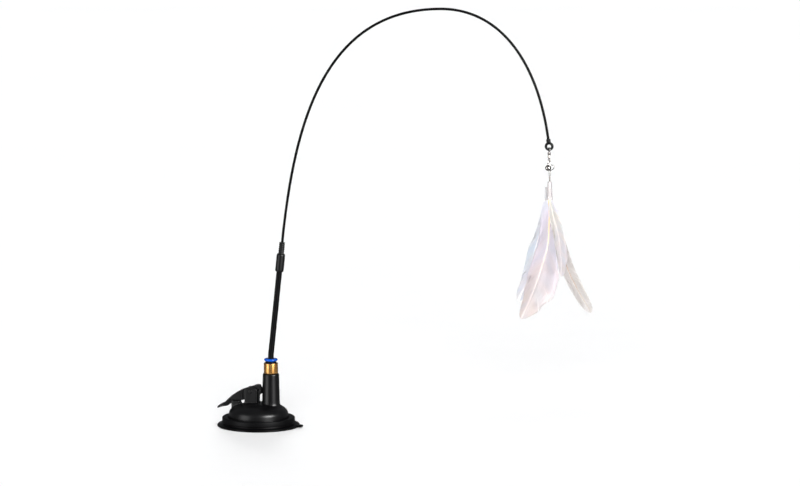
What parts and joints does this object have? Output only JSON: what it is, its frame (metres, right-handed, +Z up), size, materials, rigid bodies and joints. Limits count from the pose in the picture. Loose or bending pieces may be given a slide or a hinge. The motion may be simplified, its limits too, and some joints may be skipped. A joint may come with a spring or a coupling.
{
  "type": "suction cup cat toy",
  "caption": "Cat wand toy that stands on a lever-locked suction cup: a push-in tube carries a sprung arched rod with a swivel, a snap, a bell and a feather lure.",
  "frame": {"origin": "middle of the bounding box's foot, on the surface that the suction disc rests on", "axes": "+Z up, the arch lies along +X from the cup to the lure, and the picture looks along +Y"},
  "size_m": [0.3952, 0.0862, 0.4446],
  "materials": {
    "black_plastic": "satin moulded",
    "black_rubber": "smooth moulded",
    "bright_steel": "plated",
    "brass": "turned",
    "blue_plastic": "moulded",
    "clear_plastic": "milky clear",
    "white_feather": "feather vane"
  },
  "bodies": {
    "base": {"base_housing": "black_plastic", "clamp_ring": "black_plastic", "suction_disc": "black_rubber", "lever_pin": "black_plastic", "return_spring": "bright_steel", "brass_collar": "brass", "seal_ring": "black_rubber", "seal_spacer": "black_plastic"},
    "lever": {"lever": "black_plastic"},
    "plunger": {"plunger_stem": "black_plastic", "plunger_pin": "black_plastic", "plunger_plate": "black_plastic"},
    "release_collar": {"release_collar": "blue_plastic"},
    "grip": {"grip_ring": "bright_steel"},
    "tube": {"lower_tube": "black_plastic", "joint_sleeve": "black_plastic"},
    "rod": {"rod_ferrule": "black_plastic", "rod_sheath": "black_plastic", "rod_core": "bright_steel", "rod_eye": "black_plastic"},
    "swivel_top": {"swivel_upper_ring": "bright_steel", "swivel_barrel": "bright_steel"},
    "swivel_foot": {"swivel_lower_ring": "bright_steel"},
    "snap": {"snap_loop": "bright_steel", "snap_sleeve": "bright_steel"},
    "bell": {"bell_shell": "bright_steel", "bell_ball": "bright_steel"},
    "lure": {"lure_loop": "bright_steel", "feather_cap": "clear_plastic", "feather_main": "white_feather", "feather_left": "white_feather", "feather_short": "white_feather", "feather_right": "white_feather"}
  },
  "joints": [
    {"name": "lever_lift", "type": "hinge", "parent": "base", "child": "lever", "pos_m": [-0.16057, 0.00181, 0.037], "axis": [0.2588, 0.9659, 0], "range_deg": [0, 26]},
    {"name": "plunger_lift", "type": "slide", "parent": "base", "child": "plunger", "axis": [0, 0, 1], "range_m": [-0.00324, 0], "deforming": ["suction_disc", "return_spring"]},
    {"name": "collar_press", "type": "slide", "parent": "base", "child": "release_collar", "axis": [0, 0, 1], "range_m": [-0.0011, 0], "stiffness_N_per_m": 300},
    {"name": "wand_spin", "type": "hinge", "parent": "base", "child": "grip", "pos_m": [-0.14067, -0.00352, 0.0618], "axis": [0, 0, 1], "continuous": true},
    {"name": "wand_pull", "type": "slide", "parent": "grip", "child": "tube", "axis": [0, 0, 1], "range_m": [0, 0.025]},
    {"name": "rod_unplug", "type": "slide", "parent": "tube", "child": "rod", "axis": [0.1002, 0, 0.995], "range_m": [0, 0.01]},
    {"name": "swivel_swing", "type": "hinge", "parent": "rod", "child": "swivel_top", "pos_m": [0.15144, -0.00352, 0.29774], "axis": [0, 1, 0], "range_deg": [-40, 40]},
    {"name": "swivel_spin", "type": "hinge", "parent": "swivel_top", "child": "swivel_foot", "pos_m": [0.15144, -0.00352, 0.288], "axis": [0, 0, 1], "continuous": true},
    {"name": "snap_swing", "type": "hinge", "parent": "swivel_foot", "child": "snap", "pos_m": [0.15144, -0.00277, 0.28134], "axis": [0, 1, 0], "range_deg": [-35, 35]},
    {"name": "bell_swing", "type": "hinge", "parent": "swivel_foot", "child": "bell", "pos_m": [0.15144, -0.00427, 0.28134], "axis": [0, 1, 0], "range_deg": [-30, 30]},
    {"name": "lure_swing", "type": "hinge", "parent": "snap", "child": "lure", "pos_m": [0.15207, -0.00277, 0.27209], "axis": [1, 0, 0], "range_deg": [-40, 40]}
  ],
  "couplings": [
    {"joint": "lever_lift", "follows": "plunger_lift", "rad_per_m": -139.84}
  ]
}
